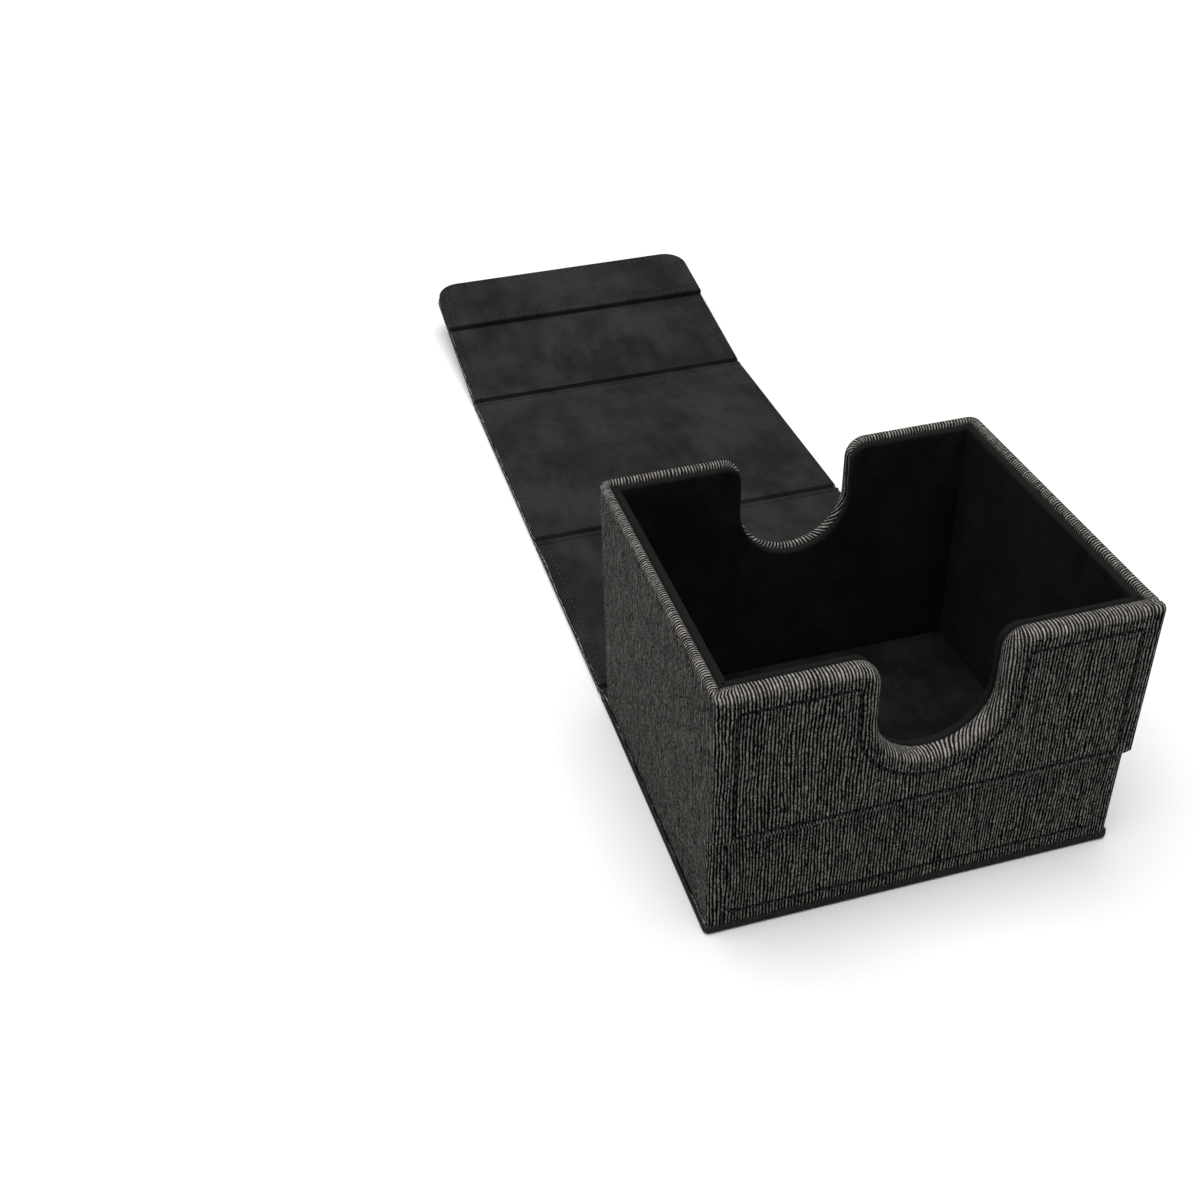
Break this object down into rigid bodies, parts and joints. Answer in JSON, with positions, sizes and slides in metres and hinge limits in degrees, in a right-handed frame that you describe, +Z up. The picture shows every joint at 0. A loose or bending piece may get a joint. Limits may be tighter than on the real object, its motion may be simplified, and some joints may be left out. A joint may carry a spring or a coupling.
{
  "type": "card deck box",
  "caption": "Leatherette deck box for sleeved trading cards, with a soft liner, finger notches and a wrap-around cover that folds shut over the front by hidden magnets.",
  "frame": {"origin": "centre of the box's underside, on the table", "axes": "+X to the box's right seen from the front, +Y from the front to the back and along the opened cover, +Z up"},
  "size_m": [0.1086, 0.3521, 0.076],
  "materials": {
    "leatherette": "ribbed, semi-matt",
    "microsuede": "brushed",
    "greyboard": "raw board",
    "magnet": "nickel plated",
    "thread": "twisted"
  },
  "bodies": {
    "box": {"base_skin": "leatherette", "base_board": "greyboard", "bottom_board": "greyboard", "front_wall_board": "greyboard", "back_wall_board": "greyboard", "left_wall_board": "greyboard", "right_wall_board": "greyboard", "outer_wrap": "leatherette", "overlay_board": "greyboard", "overlay_wrap": "leatherette", "box_magnets": "magnet", "front_liner_board": "greyboard", "back_liner_board": "greyboard", "left_liner_board": "greyboard", "right_liner_board": "greyboard", "floor_liner_board": "greyboard", "front_liner_suede": "microsuede", "back_liner_suede": "microsuede", "left_liner_suede": "microsuede", "right_liner_suede": "microsuede", "floor_liner_suede": "microsuede", "overlay_thread": "thread", "lower_front_thread": "thread", "back_fold_skin": "leatherette", "back_fold_lining": "microsuede"},
    "back_panel": {"back_board": "greyboard", "back_skin": "leatherette", "back_lining": "microsuede", "back_thread": "thread", "top_fold_skin": "leatherette", "top_fold_lining": "microsuede"},
    "top_panel": {"top_board": "greyboard", "top_skin": "leatherette", "top_lining": "microsuede", "top_thread": "thread", "front_fold_skin": "leatherette", "front_fold_lining": "microsuede"},
    "flap": {"flap_board": "greyboard", "flap_skin": "leatherette", "flap_lining": "microsuede", "flap_thread": "thread", "pad_board": "greyboard", "pad_lining": "microsuede", "flap_magnets": "magnet"}
  },
  "joints": [
    {"name": "back_fold", "type": "hinge", "parent": "box", "child": "back_panel", "pos_m": [0, 0.04835, 0], "axis": [1, 0, 0], "range_deg": [0, 90], "deforming": ["back_fold_skin", "back_fold_lining"]},
    {"name": "top_fold", "type": "hinge", "parent": "back_panel", "child": "top_panel", "pos_m": [0, 0.12795, 0], "axis": [1, 0, 0], "range_deg": [0, 90], "deforming": ["top_fold_skin", "top_fold_lining"]},
    {"name": "front_fold", "type": "hinge", "parent": "top_panel", "child": "flap", "pos_m": [0, 0.22705, 0], "axis": [1, 0, 0], "range_deg": [-10, 80], "deforming": ["front_fold_skin", "front_fold_lining"]}
  ]
}
